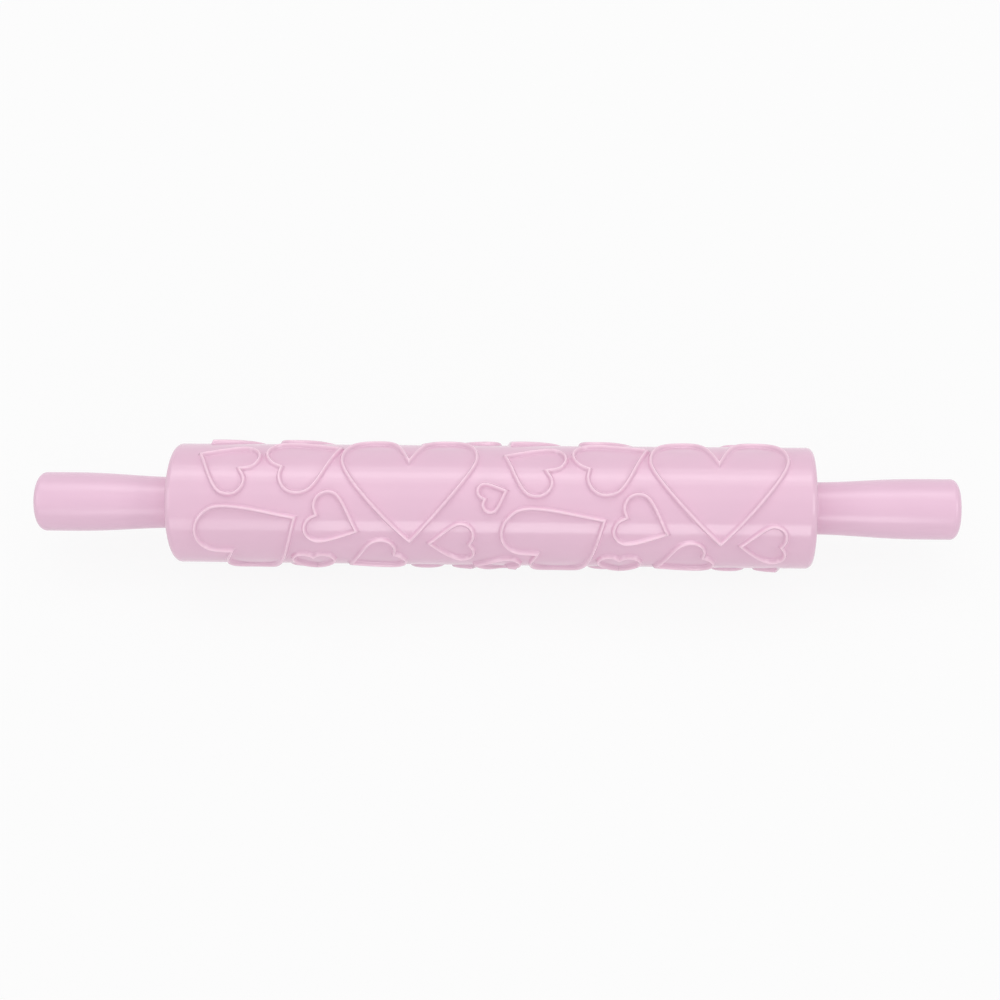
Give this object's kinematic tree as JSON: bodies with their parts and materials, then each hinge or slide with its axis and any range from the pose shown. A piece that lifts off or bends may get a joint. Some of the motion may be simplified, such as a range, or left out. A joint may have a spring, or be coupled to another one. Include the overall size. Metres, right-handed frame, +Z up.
{
  "type": "embossed rolling pin",
  "caption": "Straight rolling pin with raised heart outlines on a free-spinning hollow barrel and two short tapered handles on a steel axle.",
  "frame": {"origin": "on the spin axis at the middle of the barrel's length, which is also the middle of the pin", "axes": "+X along the spin axis to the right of the picture, -Y towards the person using it, +Z up"},
  "size_m": [0.375, 0.0522, 0.0522],
  "materials": {
    "barrel_plastic": "glossy moulded pale pink",
    "handle_plastic": "glossy moulded pale pink",
    "cap_plastic": "moulded pale pink",
    "plug_plastic": "moulded pale pink",
    "white_nylon": "plain white nylon",
    "bright_steel": "drawn bright steel bar",
    "zinc_steel": "zinc-plated steel"
  },
  "bodies": {
    "handles": {"axle_rod": "bright_steel", "handle_left": "handle_plastic", "handle_right": "handle_plastic", "handle_plug_left": "plug_plastic", "handle_plug_right": "plug_plastic", "handle_screw_left": "zinc_steel", "handle_screw_right": "zinc_steel", "screw_washer_left": "zinc_steel", "screw_washer_right": "zinc_steel", "thrust_washer_left": "white_nylon", "thrust_washer_right": "white_nylon"},
    "barrel": {"barrel": "barrel_plastic", "end_cap_left": "cap_plastic", "end_cap_right": "cap_plastic", "bush_left": "white_nylon", "bush_right": "white_nylon"}
  },
  "joints": [
    {"name": "barrel_spin", "type": "hinge", "parent": "handles", "child": "barrel", "pos_m": [0, 0, 0], "axis": [1, 0, 0], "continuous": true}
  ]
}
